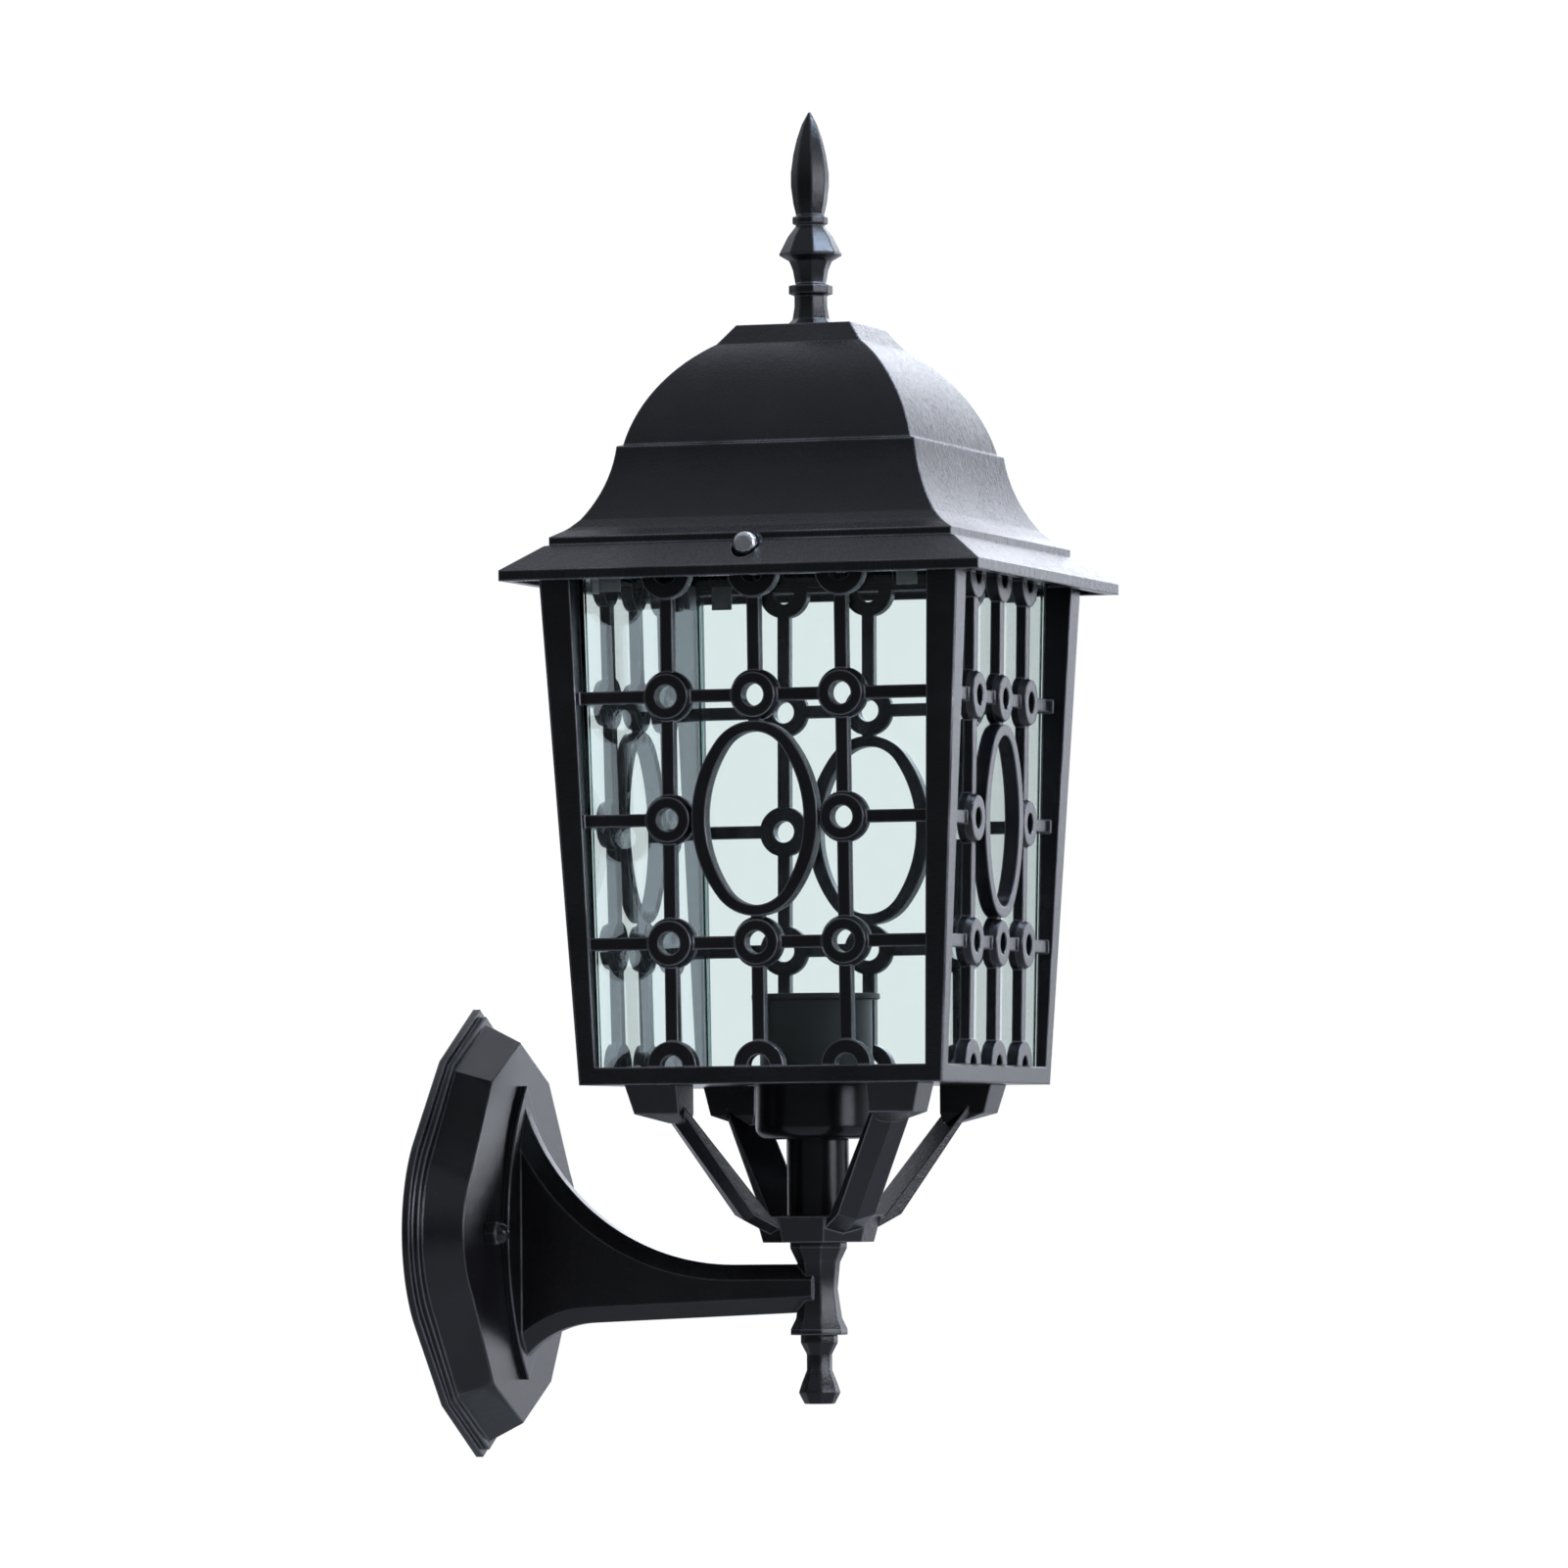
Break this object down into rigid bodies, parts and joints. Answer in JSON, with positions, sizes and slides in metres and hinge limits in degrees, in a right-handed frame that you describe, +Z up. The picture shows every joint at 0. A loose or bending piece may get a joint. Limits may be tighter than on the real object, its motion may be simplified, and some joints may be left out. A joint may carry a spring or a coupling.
{
  "type": "outdoor wall light",
  "caption": "Coach lantern for an outside wall: clear glass behind cast lattice panels, a domed roof with a spear finial, and a legged cradle on a flared arm from a pointed plate.",
  "frame": {"origin": "middle of the wall plate's back, on the wall", "axes": "+Y into the wall, +Z up, +X to the right of someone who faces the lamp from the front"},
  "size_m": [0.1868, 0.231, 0.5087],
  "materials": {
    "cast_black": "satin black coat on die-cast aluminium",
    "sheet_black": "satin black coat on sheet and tube",
    "zinc_steel": "zinc plated",
    "bright_steel": "bright plated",
    "clear_glass": "clear, polished",
    "brass": "plain",
    "holder_plastic": "moulded, satin",
    "terminal_plastic": "moulded"
  },
  "bodies": {
    "root": {"wall_plate": "cast_black", "bracket_arm": "cast_black", "drop_finial": "cast_black", "cradle": "cast_black", "roof": "cast_black", "finial": "cast_black", "front_panel": "cast_black", "rear_panel": "cast_black", "left_panel": "cast_black", "right_panel": "cast_black", "cap_nuts": "cast_black", "lantern_floor": "sheet_black", "holder_cup": "sheet_black", "support_tube": "sheet_black", "mounting_strap": "zinc_steel", "strap_studs": "zinc_steel", "terminal_screws": "zinc_steel", "earth_screw": "zinc_steel", "arm_screws": "zinc_steel", "foot_screws": "zinc_steel", "floor_screws": "zinc_steel", "glass_clips": "zinc_steel", "threaded_pipe": "zinc_steel", "pipe_nut": "zinc_steel", "finial_bolt": "zinc_steel", "finial_nut": "zinc_steel", "roof_screws": "bright_steel", "front_glass": "clear_glass", "rear_glass": "clear_glass", "left_glass": "clear_glass", "right_glass": "clear_glass", "screw_shell": "brass", "centre_contact": "brass", "lamp_holder": "holder_plastic", "terminal_block": "terminal_plastic"}
  },
  "joints": []
}
